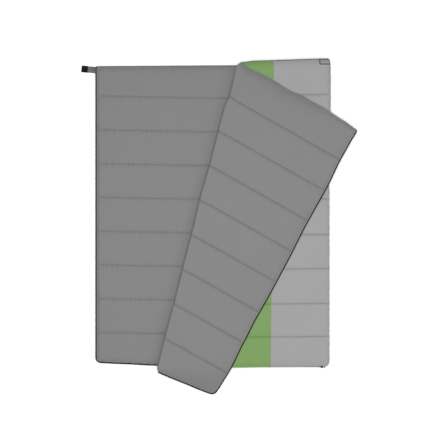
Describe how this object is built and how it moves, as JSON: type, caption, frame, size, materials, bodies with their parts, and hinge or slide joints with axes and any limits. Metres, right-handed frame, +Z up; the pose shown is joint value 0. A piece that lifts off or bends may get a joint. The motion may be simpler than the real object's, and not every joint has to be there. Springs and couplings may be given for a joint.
{
  "type": "double camp quilt",
  "caption": "Double camp quilt that opens like an envelope: padded back and front layers joined along one side, with a coil zip, a side tab and the front folded back.",
  "frame": {"origin": "centre of the back layer's flat underside, on the ground", "axes": "+Z up from the ground through the layers, +Y from the foot to the head end, +X towards the closed side"},
  "size_m": [1.7225, 2.0945, 0.066],
  "materials": {
    "shell_grey": "plain-weave polyester, light grey",
    "shell_green": "plain-weave polyester, leaf green",
    "liner_grey": "brushed polyester, mid grey",
    "fill_white": "hollow-fibre batting",
    "binding_grey": "folded grosgrain tape",
    "tape_grey": "woven zip tape",
    "coil_black": "nylon coil",
    "metal_black": "black enamelled zinc",
    "hook_black": "nylon hook and loop pile",
    "patch_grey": "woven label cloth, blank"
  },
  "bodies": {
    "back": {"back_shell": "shell_grey", "back_fill": "fill_white", "back_liner": "liner_grey", "back_head_binding": "binding_grey", "zip_back_tape": "tape_grey", "zip_back_coil": "coil_black", "head_stop_back": "metal_black", "retainer_box": "metal_black", "tab_root": "binding_grey"},
    "front": {"front_shell_side": "shell_grey", "front_shell_band": "shell_green", "front_fill": "fill_white", "front_liner": "liner_grey", "front_head_binding": "binding_grey", "zip_front_tape": "tape_grey", "zip_front_coil": "coil_black", "insertion_pin": "metal_black", "corner_patch": "patch_grey"},
    "flap": {"flap_shell_band": "shell_green", "flap_shell_side": "shell_grey", "flap_fill": "fill_white", "flap_liner": "liner_grey", "flap_head_binding": "binding_grey", "zip_flap_tape": "tape_grey", "zip_flap_coil": "coil_black", "head_stop_flap": "metal_black", "loop_patch": "hook_black"},
    "tab": {"tab_strap": "liner_grey", "hook_patch": "hook_black"},
    "slider": {"zip_slider": "metal_black"},
    "pull": {"zip_pull": "metal_black"}
  },
  "joints": [
    {"name": "side_fold", "type": "hinge", "parent": "back", "child": "front", "pos_m": [0.7305, 0, 0.0219], "axis": [0, 1, 0], "range_deg": [0, 179]},
    {"name": "crease_fold", "type": "hinge", "parent": "front", "child": "flap", "pos_m": [-0.10651, -0.00448, 0.0441], "axis": [-0.2481, -0.9687, 0], "range_deg": [0, 179.5]},
    {"name": "tab_fold", "type": "hinge", "parent": "back", "child": "tab", "pos_m": [-0.7423, 0.9115, 0.0242], "axis": [0, 1, 0], "range_deg": [0, 180]},
    {"name": "slider_run", "type": "slide", "parent": "back", "child": "slider", "axis": [0, -1, 0], "range_m": [0, 1.796]},
    {"name": "pull_swing", "type": "hinge", "parent": "slider", "child": "pull", "pos_m": [-0.7365, 0.9137, 0.0152], "axis": [-1, 0, 0], "range_deg": [0, 180]}
  ]
}
